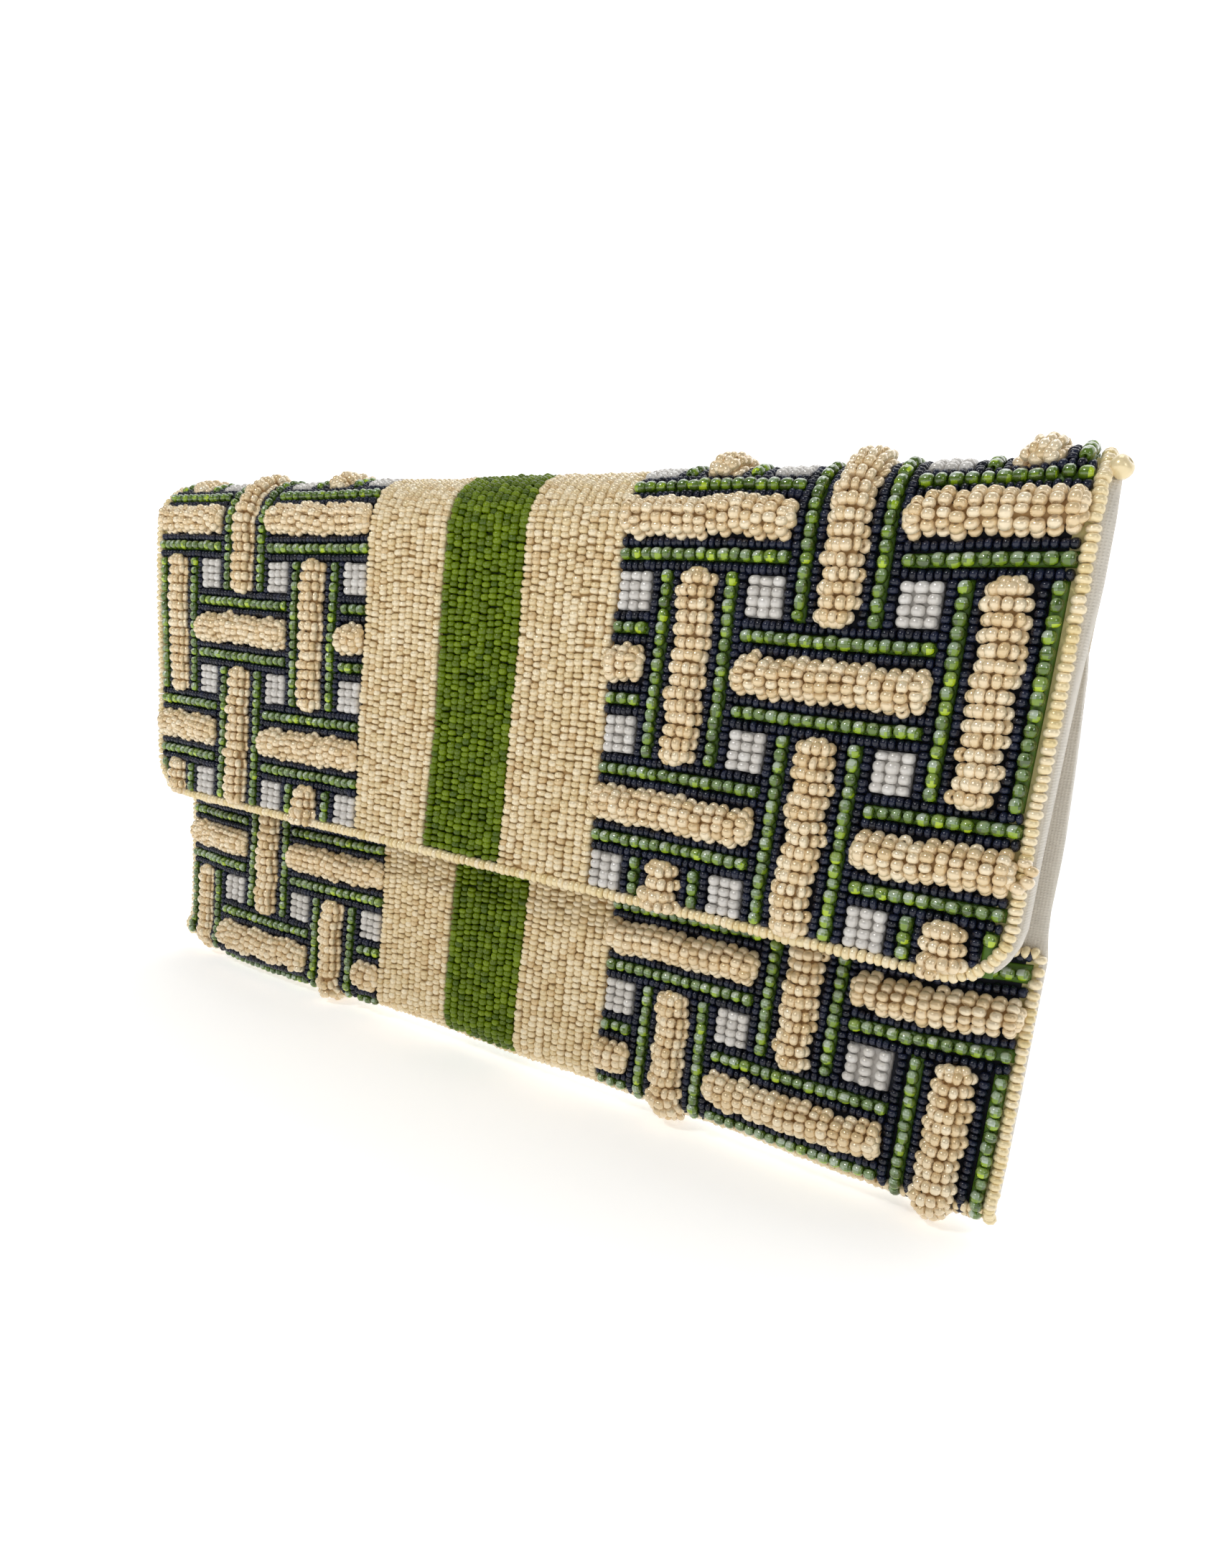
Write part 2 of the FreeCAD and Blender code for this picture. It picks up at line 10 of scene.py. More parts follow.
import bpy
import numpy as np
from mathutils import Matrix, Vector


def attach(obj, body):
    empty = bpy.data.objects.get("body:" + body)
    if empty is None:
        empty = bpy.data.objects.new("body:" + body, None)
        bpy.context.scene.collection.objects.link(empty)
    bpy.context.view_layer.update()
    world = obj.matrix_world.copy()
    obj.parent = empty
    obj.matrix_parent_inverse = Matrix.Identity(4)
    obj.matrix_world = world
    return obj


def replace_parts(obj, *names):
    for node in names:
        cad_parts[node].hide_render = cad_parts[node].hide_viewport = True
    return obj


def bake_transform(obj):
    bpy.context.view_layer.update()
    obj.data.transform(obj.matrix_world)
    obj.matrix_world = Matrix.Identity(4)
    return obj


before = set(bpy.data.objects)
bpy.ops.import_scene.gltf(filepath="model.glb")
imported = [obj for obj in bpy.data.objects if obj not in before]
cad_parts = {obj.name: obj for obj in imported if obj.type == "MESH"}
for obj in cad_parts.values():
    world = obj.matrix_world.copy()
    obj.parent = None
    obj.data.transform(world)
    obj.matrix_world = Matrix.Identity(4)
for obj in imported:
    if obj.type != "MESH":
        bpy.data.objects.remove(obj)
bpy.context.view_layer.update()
chance = np.random.default_rng(41)

# ---------------------------------------------------------------- sizes, millimetres
MM = 0.001
PITCH = 28.0            # between neighbouring bundles of the woven pattern
HALF_BUNDLE = 10.0
HALF_WIDTH = 121.8
EDGE_OUT = 119.6        # outer side of the ground under the edge beads
BLOCK_OUT = 116.6       # outer side of the dark ground under a woven block
BAR_END = 118.2         # outer end of a level bar
NAVY_END = 118.0        # no upright navy lane stands farther out
PLAIN_HALF = 35.6
STRIPE_HALF = 11.25
PLAIN_NUMBER = 11       # columns of beige beads on each side of the stripe
STRIPE_NUMBER = 10
COLUMNS = (53.6, 81.6, 109.6)
GAPS = (39.6, 67.6, 95.6)
HALF_DEPTH = 12.5
FOLD_START = 124.5
ROLL = math.pi * HALF_DEPTH
BACK_START = FOLD_START + ROLL
FOLD_MIDDLE = FOLD_START + ROLL / 2
BOTTOM_RADIUS = 6.0
BOTTOM_HEIGHT = 3.0
BOTTOM_LEVEL = 1.0      # level length between the bottom's two rounded corners
CORNER_HEIGHT = BOTTOM_HEIGHT + BOTTOM_RADIUS
HEEL_DEPTH = HALF_DEPTH - BOTTOM_RADIUS
TOE_DEPTH = HEEL_DEPTH - BOTTOM_LEVEL
BACK_END = BACK_START + FOLD_START - CORNER_HEIGHT
BOTTOM_QUARTER = BOTTOM_RADIUS * math.pi / 2
BOTTOM_FLAT = BACK_END + BOTTOM_QUARTER
ROLL_FRONT = BOTTOM_FLAT + BOTTOM_LEVEL
FRONT_START = ROLL_FRONT + BOTTOM_QUARTER
FRONT_ZERO = FRONT_START - CORNER_HEIGHT    # along = FRONT_ZERO + height on the front panel
MOUTH_START = FRONT_ZERO + 3.9
MOUTH_END = FRONT_ZERO + 14.2
HEEL_ROWS = FRONT_ZERO + 1.2        # middle of two level rows under the front panel
HEEL_CLEAR = 2.0        # upright rows stop this far from it
FLAP_LOW = 50.5
CORNER = 12.0
BEAD_INSET = 2.2        # from a free edge to the first beads inside the edge beads
FLAP_BEAD_LOW = FLAP_LOW + BEAD_INSET
WAVE_TURN = 0.314       # a wave texture of scale 1 repeats after this length
CUT_STEP = 0.05         # last step before a cut end, so that its flat face does not tint the shading
FLAP_INSET = 0.007
FRONT_INSET = 0.012
FRONT_TOP = 118.0
FRONT_TOP_CORNER = 14.0
FRONT_BEAD_TOP = FRONT_ZERO + 52.6
FRONT_BEAD_END = FRONT_BEAD_TOP - BEAD_INSET
FRONT_SLANT = 0.02      # the front panel's level rows rise to the right
WEAVE_END = 276.0       # the pattern of flap, top and back ends here, just above the heel
WEAVE_RESTART = FRONT_ZERO + 2.9
LEVELS = [70.5 + PITCH * k for k in range(8)]
GAP_ROWS = [56.5 + PITCH * k for k in range(8)]
FRONT_LEVELS = [FRONT_ZERO + 11.6, FRONT_ZERO + 39.6]
FRONT_GAP_ROWS = [FRONT_ZERO + 25.6]
CLOTH_LIFT = -1.7       # outer face of the cloth under the beads
FLAP_IN = -6.8          # inner face of the padded flap
WALL_IN = -3.6          # inner face of the back, bottom and front

LANES = (("navy", 4.75), ("green", 6.95), ("navy", 9.15))
STRING_PITCH = 2.37
SHORTEST_SPAN = 1.5     # no bar or lane is sewn in a shorter gap
WHITE_ACROSS = 2.42     # between the three columns of a white square
WHITE_ALONG = 1.86      # between its four rows
WHITE_HALF = 3.7
# lift over the strip, pitch along the thread, radius and length of each kind of bead
BEADS = {
    "plain": dict(lift=-1.12, pitch=1.40, radius=1.17, length=1.46),
    "white": dict(lift=-0.95, pitch=WHITE_ALONG, radius=1.24, length=1.9),
    "navy": dict(lift=-1.0, pitch=1.39, radius=0.98, length=1.34),
    "green": dict(lift=-0.55, pitch=2.37, radius=1.2, length=2.34),
    "base": dict(lift=-1.12, pitch=1.42, radius=1.15, length=1.44),
    "edge": dict(lift=-1.0, pitch=1.45, radius=1.2, length=1.5),
}
HEEL_BEADS = dict(lift=-1.05, pitch=1.45, radius=1.15, length=1.5)
BASE_PITCH = 2.25       # between neighbouring rows of base beads
# how much beads differ, as a standard deviation
SHAKE = 0.07            # millimetres of place, and shares of direction
RADIUS_SPREAD = 0.045   # share
LENGTH_SPREAD = 0.09    # share


# ---------------------------------------------------------------- the strip
def strip(along):
    """Depth, height, and the directions along and out of the strip at each length."""
    a = np.asarray(along, float)
    turn = (a - FOLD_START) / HALF_DEPTH
    heel = (a - BACK_END) / BOTTOM_RADIUS
    toe = (a - ROLL_FRONT) / BOTTOM_RADIUS
    zero = np.zeros_like(a)
    one = zero + 1
    cases = [a <= FOLD_START, a <= BACK_START, a <= BACK_END, a <= BOTTOM_FLAT, a <= ROLL_FRONT,
             a <= FRONT_START]

    def pick(*options):
        return np.select(cases, options[:-1], options[-1])

    r = BOTTOM_RADIUS
    depth = pick(zero - HALF_DEPTH, -HALF_DEPTH * np.cos(turn), zero + HALF_DEPTH,
                 HEEL_DEPTH + r * np.cos(heel), HEEL_DEPTH - (a - BOTTOM_FLAT),
                 TOE_DEPTH - r * np.sin(toe), zero + TOE_DEPTH - r)
    height = pick(a, FOLD_START + HALF_DEPTH * np.sin(turn), FOLD_START - (a - BACK_START),
                  CORNER_HEIGHT - r * np.sin(heel), zero + BOTTOM_HEIGHT,
                  CORNER_HEIGHT - r * np.cos(toe), a - FRONT_ZERO)
    out_y = pick(-one, -np.cos(turn), one, np.cos(heel), zero, -np.sin(toe), -one)
    out_z = pick(zero, np.sin(turn), zero, -np.sin(heel), -one, -np.cos(toe), zero)
    along_y = pick(zero, np.sin(turn), zero, -np.sin(heel), -one, -np.cos(toe), zero)
    along_z = pick(one, np.cos(turn), -one, -np.cos(heel), zero, np.sin(toe), one)
    return depth, height, along_y, along_z, out_y, out_z


def smooth(t):
    t = np.clip(t, 0.0, 1.0)
    return t * t * (3 - 2 * t)


def ramp(value, start, width):
    """Smooth rise from 0 to 1 over a width that begins at start."""
    return smooth((value - start) / width)


def hill(value, middle, width):
    """A bell of height 1."""
    return np.exp(-((value - middle) / width) ** 2)


def sag(across, along):
    """How far the surface lies under its nominal place: ends that fall away, and slow waves."""
    edge = np.clip((np.abs(across) - 100.0) / 22.0, 0, 1.2)
    on_front = ramp(along, ROLL_FRONT, 12.0)
    on_top = hill(along, FOLD_MIDDLE, 11.0)
    fall = edge * edge * (0.5 + 2.3 * on_front - 0.8 * on_top)
    # the left end hangs back, least on the upper flap
    under_top = 1 - ramp(along, 118.0, 14.0)
    on_flap = (1.2 - 1.5 * ramp(along, 78.0, 34.0)) * under_top
    fall += ramp(-across, 92.0, 20.0) * (1.9 * on_front + on_flap)
    # the lower edge is fuller left of the middle, and the top's right end stands up
    low_edge = hill(along, FRONT_START - 4.7, 3.4)
    fall -= 2.1 * low_edge * ramp(-across, 10.0, 60.0) * (1 - ramp(-across, 98.0, 14.0))
    fall -= 2.0 * on_top * hill(across, 115.0, 5.0)
    wave = (0.22 * np.sin(across / 16.0 + 1.3) * np.cos(along / 19.0 + 0.4)
            + 0.13 * np.sin(across / 7.1 + along / 8.3))
    return fall + wave


def stray(across, along):
    """Slow wandering of the rows in their own plane; the front panel's rows rise at the right."""
    step_x = 0.28 * np.sin(along / 10.5 + across * 0.03) * np.cos(across / 23.0)
    step_a = 0.30 * np.sin(across / 12.5 + 0.7) * np.cos(along / 31.0)
    step_a = step_a + 0.9 * ramp(across, 84.0, 28.0) * hill(along, 130.0, 12.0)
    height = along - FRONT_ZERO
    rise = 1.7 * np.clip((across - 74.0) / 44.0, 0, 1) * ramp(height, 24.0, 14.0)
    rise = rise + 0.5 * np.clip(height - 46.5, 0, 6) * ramp(across, 92.0, 20.0)
    step_a = step_a + rise * (1 - ramp(height, 54.0, 30.0))
    return step_x, step_a


def flare(across, along):
    """The back is a little narrower than the flap, and the front panel's edges stand out."""
    on_back = ramp(along, FOLD_START, ROLL) * (1 - ramp(along, BACK_END, 11.0))
    on_front = ramp(along, BOTTOM_FLAT - 2.0, 4.0) * (1 - ramp(along, FRONT_ZERO + 50.0, 7.0))
    reach = np.abs(across)
    spread = (2.7 * ramp(reach, 92.0, 12.0) + 0.25 * np.clip(reach - 114.0, 0, 2.55)
              - 0.25 * np.clip(reach - 116.55, 0, 2.95) - 0.65 * np.clip(reach - 119.5, 0, None))
    return across * (1 - 0.028 * on_back) + np.sign(across) * spread * on_front


def lean(along):
    """How far the bare upper part of the front panel leans towards the flap."""
    return 4.2 * ramp(along, FRONT_ZERO + 54.0, 64.0)


def spot(across, along, lift):
    """Places in the frame, in metres, of points on the strip."""
    across = np.asarray(across, float)
    along = np.asarray(along, float)
    step_x, step_a = stray(across, along)
    depth, height, _, _, out_y, out_z = strip(along + step_a)
    up = lift - sag(across, along) + lean(along)
    return np.stack([flare(across, along) + step_x, depth + out_y * up, height + out_z * up], axis=-1) * MM


def turned(along, vector):
    """Directions (across, along, out) on the strip, in the frame."""
    _, _, along_y, along_z, out_y, out_z = strip(along)
    return np.stack([vector[:, 0],
                     along_y * vector[:, 1] + out_y * vector[:, 2],
                     along_z * vector[:, 1] + out_z * vector[:, 2]], axis=-1)


# ---------------------------------------------------------------- materials
def linear(channel):
    channel = channel / 255.0
    return channel / 12.92 if channel <= 0.04045 else ((channel + 0.055) / 1.055) ** 2.4


def material(name, colour, rough, coat=0.0, metallic=0.0, sheen=0.0, glow=0.0, shine=0.5):
    made = bpy.data.materials.new(name)
    made.use_nodes = True
    shader = made.node_tree.nodes["Principled BSDF"]
    rgba = tuple(linear(c) for c in colour) + (1.0,)
    shader.inputs["Base Color"].default_value = rgba
    shader.inputs["Roughness"].default_value = rough
    shader.inputs["Metallic"].default_value = metallic
    shader.inputs["Coat Weight"].default_value = coat
    shader.inputs["Coat Roughness"].default_value = 0.06
    shader.inputs["Specular IOR Level"].default_value = shine
    shader.inputs["Sheen Weight"].default_value = sheen
    # glow is emission of the base colour: the floor and backdrop are evenly bright by it, and on beads it
    # is painted light
    if glow:
        shader.inputs["Emission Color"].default_value = rgba
        shader.inputs["Emission Strength"].default_value = glow
    return made


def woven(made, second, pitch, depth):
    """Adds crossing threads and soft blotches of a second colour. pitch and depth in millimetres."""
    tree = made.node_tree
    shader = tree.nodes["Principled BSDF"]
    place = tree.nodes.new("ShaderNodeTexCoord")
    height = None
    for direction in ("X", "Z"):
        threads = tree.nodes.new("ShaderNodeTexWave")
        threads.bands_direction = direction
        threads.inputs["Scale"].default_value = WAVE_TURN / (pitch * MM)
        threads.inputs["Distortion"].default_value = 1.2
        threads.inputs["Detail"].default_value = 1.0
        threads.inputs["Detail Scale"].default_value = 0.4
        tree.links.new(place.outputs["Object"], threads.inputs["Vector"])
        if height is None:
            height = threads.outputs["Fac"]
            continue
        joined = tree.nodes.new("ShaderNodeMath")
        joined.operation = "MULTIPLY"
        tree.links.new(height, joined.inputs[0])
        tree.links.new(threads.outputs["Fac"], joined.inputs[1])
        height = joined.outputs[0]
    bump = tree.nodes.new("ShaderNodeBump")
    bump.inputs["Distance"].default_value = depth * MM
    bump.inputs["Strength"].default_value = 0.8
    tree.links.new(height, bump.inputs["Height"])
    tree.links.new(bump.outputs["Normal"], shader.inputs["Normal"])
    blotch = tree.nodes.new("ShaderNodeTexNoise")
    blotch.inputs["Scale"].default_value = 700.0
    blotch.inputs["Detail"].default_value = 3.0
    tree.links.new(place.outputs["Object"], blotch.inputs["Vector"])
    ramp = tree.nodes.new("ShaderNodeValToRGB")
    ramp.color_ramp.elements[0].position = 0.3
    ramp.color_ramp.elements[0].color = tuple(linear(c) for c in second) + (1.0,)
    ramp.color_ramp.elements[1].position = 0.7
    ramp.color_ramp.elements[1].color = tuple(shader.inputs["Base Color"].default_value)
    tree.links.new(blotch.outputs["Fac"], ramp.inputs["Fac"])
    tree.links.new(ramp.outputs["Color"], shader.inputs["Base Color"])
    return made


def tones(name, colours, **look):
    return [material("%s_%d" % (name, i), c, **look) for i, c in enumerate(colours)]


# glow on the beige, bar, white and edge beads is painted light: a faint emission that lifts the shade in
# the gaps between beads, in place of light passing through them
BEIGE = tones("beige_bead", [(228, 209, 170), (221, 200, 156), (234, 218, 184), (213, 187, 141)],
              rough=0.27, coat=0.8, metallic=0.2, glow=0.05)
BAR = tones("bar_bead", [(230, 209, 172), (224, 200, 158), (236, 219, 186), (217, 191, 146)],
            rough=0.25, coat=0.9, metallic=0.25, glow=0.05)
STRIPE = tones("stripe_bead", [(100, 122, 6), (88, 108, 4), (114, 136, 10), (72, 94, 2)],
               rough=0.28, coat=0.18, shine=0.3)
WHITE = tones("white_bead", [(206, 202, 196), (198, 194, 188), (214, 211, 206)], rough=0.26, coat=0.4,
              metallic=0.15, glow=0.05)
NAVY = tones("navy_bead", [(18, 23, 42), (12, 16, 30), (26, 32, 54)], rough=0.25, coat=0.2, shine=0.35)
EDGE = tones("edge_bead", [(232, 214, 170), (224, 204, 152), (236, 220, 184)], rough=0.28, coat=0.4,
             metallic=0.2, glow=0.06)
# painted highlight: pale sage faces of the green beads that face the sky, in place of the lamps'
# reflection
GREEN_PAINTED_HIGHLIGHT = tones("green_lustre", [(152, 172, 142), (134, 158, 112), (176, 192, 170), (140, 166, 84)],
                     rough=0.16, coat=1.0, shine=0.8)
GREEN_GLASS = tones("green_glass", [(72, 98, 24), (60, 84, 18), (88, 116, 30), (86, 116, 18)],
                    rough=0.16, coat=0.8, shine=0.6)
# painted glow: lime faces towards the ground, with emission, in place of light shining through the glass
GREEN_PAINTED_GLOW = tones("green_light", [(108, 138, 20), (80, 108, 18), (136, 166, 24), (166, 192, 28)],
                    rough=0.16, coat=0.8, glow=0.1)
# painted sheen: faces between the painted highlight and the glass body
GREEN_PAINTED_SHEEN = tones("green_painted_sheen", [(112, 137, 88), (98, 123, 70), (134, 156, 106), (116, 144, 56)],
                   rough=0.16, coat=0.9, shine=0.7)
CLOTH = woven(material("cream_cloth", (216, 209, 196), rough=0.9, sheen=0.2), (209, 202, 189), 0.5, 0.09)
LINING = woven(material("lining", (206, 192, 168), rough=0.6, sheen=0.3), (199, 185, 160), 0.36, 0.05)
UNDER_PLAIN = material("cloth_under_plain", (212, 180, 128), rough=0.95)
UNDER_STRIPE = material("cloth_under_stripe", (46, 62, 8), rough=0.95)
UNDER_BLOCK = material("cloth_under_block", (14, 17, 26), rough=0.95)
# thread under the green lanes: its own green, brightened with painted glow of the light that shines
# through the green glass beads
THREAD_AND_PAINTED_GLOW_UNDER_GREEN = material("thread_under_green", (74, 108, 20), rough=0.5)
UNDER_WHITE = material("thread_under_white", (176, 171, 165), rough=0.9)
UNDER_EDGE = material("cloth_at_edge", (206, 196, 140), rough=0.9)
PAD = material("bar_padding", (214, 178, 126), rough=0.95)
METAL = material("snap_metal", (196, 176, 130), rough=0.28, metallic=1.0)


# ---------------------------------------------------------------- beads
# cosines from the sky's or the ground's direction at which a glass bead's faces turn to painted highlight,
# painted sheen and painted glow
PAINTED_HIGHLIGHT_FROM = 0.8
PAINTED_SHEEN_FROM = 0.64
PAINTED_GLOW_FROM = 0.84


def bead_profile(fine):
    """Rings (height along the hole, radius) of a bead's section, as shares of length and radius."""
    if fine:
        half = [(.49, .30), (.47, .54), (.38, .78), (.21, .95)]
    else:
        half = [(.48, .38), (.36, .80)]
    return [(0, .25)] + half + [(0, 1.0)] + [(-high, wide) for high, wide in reversed(half)]


def bead_mesh(name, beads, choice, fine, glass=None):
    """One mesh of many beads: rings round a hole, each bead in one of the tones of its kind.

    With glass, choice is only the painted highlight of the side towards the sky: glass holds as many
    tones for the rest of the bead, as many for painted glow on the side towards the ground, where light
    would shine through, and as many for the painted sheen between the highlight and the glass.
    """
    rings = bead_profile(fine)
    around = 12 if fine and glass else 10 if fine else 8
    many = len(rings)
    angle = np.arange(around) * 2 * math.pi / around
    count = len(beads["across"])
    centre = spot(beads["across"], beads["along"], beads["lift"])
    axis = turned(beads["along"], beads["axis"])
    axis /= np.linalg.norm(axis, axis=1)[:, None]
    up = turned(beads["along"], beads["up"])
    up -= axis * (up * axis).sum(1)[:, None]
    up /= np.linalg.norm(up, axis=1)[:, None]
    side = np.cross(axis, up)
    high = np.repeat(np.array([r[0] for r in rings]), around)
    wide = np.repeat(np.array([r[1] for r in rings]), around)
    cosine = np.tile(np.cos(angle), many)
    sine = np.tile(np.sin(angle), many)
    length = beads["length"][:, None, None] * MM
    radius = beads["radius"][:, None, None] * MM
    points = (centre[:, None, :]
              + axis[:, None, :] * high[None, :, None] * length
              + up[:, None, :] * (wide * cosine)[None, :, None] * radius
              + side[:, None, :] * (wide * sine)[None, :, None] * radius)
    ring = np.repeat(np.arange(many), around)
    step = np.tile(np.arange(around), many)
    following = (step + 1) % around
    above = (ring + 1) % many
    quads = np.stack([ring * around + step, above * around + step,
                      above * around + following, ring * around + following], axis=1)
    size = many * around
    faces = (quads[None] + (np.arange(count) * size)[:, None, None]).reshape(-1, 4)
    tone = chance.choice(len(choice), size=count, p=weights(len(choice)))
    slot = np.repeat(tone, len(quads))
    palette = list(choice)
    if glass is not None:
        middles = points[:, quads].mean(axis=2) - centre[:, None, :]
        middles /= np.linalg.norm(middles, axis=2)[:, :, None]
        sky = up[:, None, :] * 0.75 + np.array([-0.15, 0, 0.7]) + chance.normal(0, 0.12, (count, 1, 3))
        ground = up[:, None, :] * 0.8 + np.array([0.25, 0, -0.6]) + chance.normal(0, 0.25, (count, 1, 3))
        sky /= np.linalg.norm(sky, axis=2)[:, :, None]
        ground /= np.linalg.norm(ground, axis=2)[:, :, None]
        skyward = (middles * sky).sum(2).ravel()
        # faces towards the sky take painted highlight, a ring round them painted sheen, and faces towards
        # the ground painted glow
        lustre = skyward > PAINTED_HIGHLIGHT_FROM
        painted_glow = ((middles * ground).sum(2) > PAINTED_GLOW_FROM).ravel() & (skyward < PAINTED_SHEEN_FROM)
        turn = np.select([lustre, painted_glow, skyward > PAINTED_SHEEN_FROM], [0, 2, 3], 1)
        slot = slot + turn * len(choice)
        palette += glass
    return mesh_object(name, points.reshape(-1, 3), faces, palette, slot)


def weights(number):
    """Shares of the tones of one kind."""
    return {3: [.5, .25, .25], 4: [.42, .26, .22, .10]}[number]


def mesh_object(name, points, faces, palette, slot):
    """A smooth-shaded object from points, faces of equal length and a palette slot per face."""
    mesh = bpy.data.meshes.new(name)
    mesh.vertices.add(len(points))
    mesh.vertices.foreach_set("co", np.asarray(points, np.float32).ravel())
    mesh.loops.add(faces.size)
    mesh.loops.foreach_set("vertex_index", faces.astype(np.int32).ravel())
    mesh.polygons.add(len(faces))
    mesh.polygons.foreach_set("loop_start", np.arange(0, faces.size, faces.shape[1], dtype=np.int32))
    for thing in palette:
        mesh.materials.append(thing)
    mesh.polygons.foreach_set("material_index", np.asarray(slot, np.int32))
    mesh.polygons.foreach_set("use_smooth", np.ones(len(faces), bool))
    mesh.update(calc_edges=True)
    mesh.validate()
    made = bpy.data.objects.new(name, mesh)
    bpy.context.scene.collection.objects.link(made)
    return made


stock = {}


def put(kind, across, along, lift, axis, radius, length, up=(0, 0, 1), loose=1.0):
    """Adds beads of one kind; across, along and lift may be numbers or arrays."""
    across, along, lift = np.broadcast_arrays(np.atleast_1d(np.asarray(across, float)),
                                              np.atleast_1d(np.asarray(along, float)),
                                              np.atleast_1d(np.asarray(lift, float)))
    count = across.shape[0]
    axis = np.broadcast_to(np.asarray(axis, float), (count, 3)).copy()
    up = np.broadcast_to(np.asarray(up, float), (count, 3)).copy()
    axis += chance.normal(0, SHAKE * loose, (count, 3))
    shake = chance.normal(0, SHAKE * loose, (3, count))
    entry = {
        "across": across + shake[0],
        "along": along + shake[1],
        "lift": lift + shake[2],
        "axis": axis,
        "up": up,
        "radius": radius * (1 + chance.normal(0, RADIUS_SPREAD * loose, count)),
        "length": length * (1 + chance.normal(0, LENGTH_SPREAD * loose, count)),
    }
    stock.setdefault(kind, []).append(entry)


def even(x0, a0, x1, a1, pitch):
    """Shares of a run at which beads or strings stand evenly once the strip is stretched."""
    share = np.linspace(0, 1, 81)
    reach = flare(x0 + (x1 - x0) * share, a0 + (a1 - a0) * share)
    length = np.concatenate([[0], np.cumsum(np.hypot(np.diff(reach), (a1 - a0) / 80.0))])
    number = max(1, int(round(length[-1] / pitch)))
    return np.interp((np.arange(number) + 0.5) / number * length[-1], length, share)


def row(kind, x0, a0, x1, a1, look=None):
    """A straight row of beads threaded from one point to the other."""
    look = look or BEADS[kind]
    run = math.hypot(x1 - x0, a1 - a0)
    t = even(x0, a0, x1, a1, look["pitch"])
    put(kind, x0 + (x1 - x0) * t, a0 + (a1 - a0) * t, look["lift"],
        ((x1 - x0) / run, (a1 - a0) / run, 0), look["radius"], look["length"])


# places (over the bar, lift) and lean of the six beads of one string over a bar
BAR_OVER = np.array([3.12, 2.36, 0.86, -0.86, -2.36, -3.12])
BAR_LIFT = np.array([-0.5, 1.0, 1.84, 1.84, 1.0, -0.5])
BAR_LEAN = np.radians([78, 42, 12, -12, -42, -78])
BAR_RADIUS = 1.22
BAR_LENGTH = 1.78


def bar_string(across, along, upright, squeeze=1.0, number=6):
    """Beads threaded over a bar's padding, across the bar: six, or the middle four at an end."""
    size = squeeze * (1 + chance.normal(0, 0.03))
    if across < 0:
        size *= 1 - 0.3 * hill(along, FOLD_MIDDLE, 9.0)
    chosen = slice(0, 6) if number == 6 else slice(1, 5)
    over_bar = BAR_OVER[chosen] * 0.92 * size + chance.normal(0, 0.28)
    flat = 1 - 0.3 * ramp(-across, 98.0, 8.0)
    lift = -1.0 + (BAR_LIFT[chosen] + 1.0) * size * flat
    zero = np.zeros(number)
    axis_over = -np.cos(BAR_LEAN[chosen])
    axis_up = np.sin(BAR_LEAN[chosen])
    if upright:
        across = across + over_bar
        axis = np.stack([axis_over, zero, axis_up], axis=1)
        up = (0.01, 0.3, 1)
    else:
        along = along + over_bar
        axis = np.stack([zero, axis_over, axis_up], axis=1)
        up = (0.3, 0.01, 1)
    put("bar", across, along, lift, axis, BAR_RADIUS, BAR_LENGTH, up, loose=1.3)


pads = []


def bar(x0, a0, x1, a1, upright):
    """A raised bar: strings of beads side by side over a padding."""
    run = abs(a1 - a0) if upright else abs(x1 - x0)
    shares = even(x0, a0, x1, a1, STRING_PITCH)
    for t in shares:
        squeeze = 0.93 if t in (shares[0], shares[-1]) else 1.0
        bar_string(x0 + (x1 - x0) * t, a0 + (a1 - a0) * t, upright, squeeze)
    for t in (0.35 / run, 1 - 0.35 / run):
        bar_string(x0 + (x1 - x0) * t, a0 + (a1 - a0) * t, upright, 0.6, 4)
    pads.append((x0, a0, x1, a1))


under_green = []
under_white = []


def spans(low, high, holes):
    """What the holes leave of a stretch."""
    found = []
    start = low
    for hole_low, hole_high in sorted(holes):
        if hole_low - start > SHORTEST_SPAN:
            found.append((start, hole_low))
        start = max(start, hole_high)
    if high - start > SHORTEST_SPAN:
        found.append((start, high))
    return found


def over(column, level):
    """True where the upright bundle passes over the level one."""
    return (column + level) % 2 == 0


def lane(kind, x0, a0, x1, a1):
    """A row beside a bar; the green ones have a thread ridge below, whose bright green is partly painted
    glow of light through the glass.
    """
    row(kind, x0, a0, x1, a1)
    if kind == "green":
        under_green.append((x0, a0, x1, a1))


def white_square(x, middle, low):
    """White beads in one gap of a woven block, as far as they clear its lower edge."""
    if middle - WHITE_HALF > low:
        under_white.append((x, middle - WHITE_HALF, x, middle + WHITE_HALF))
    look = BEADS["white"]
    for i in range(3):
        for j in range(4):
            along = middle + (j - 1.5) * look["pitch"]
            if along >= low + 0.5:
                put("white", x + (i - 1) * WHITE_ACROSS, along, look["lift"], (0, 1, 0), look["radius"],
                    look["length"], loose=0.9)


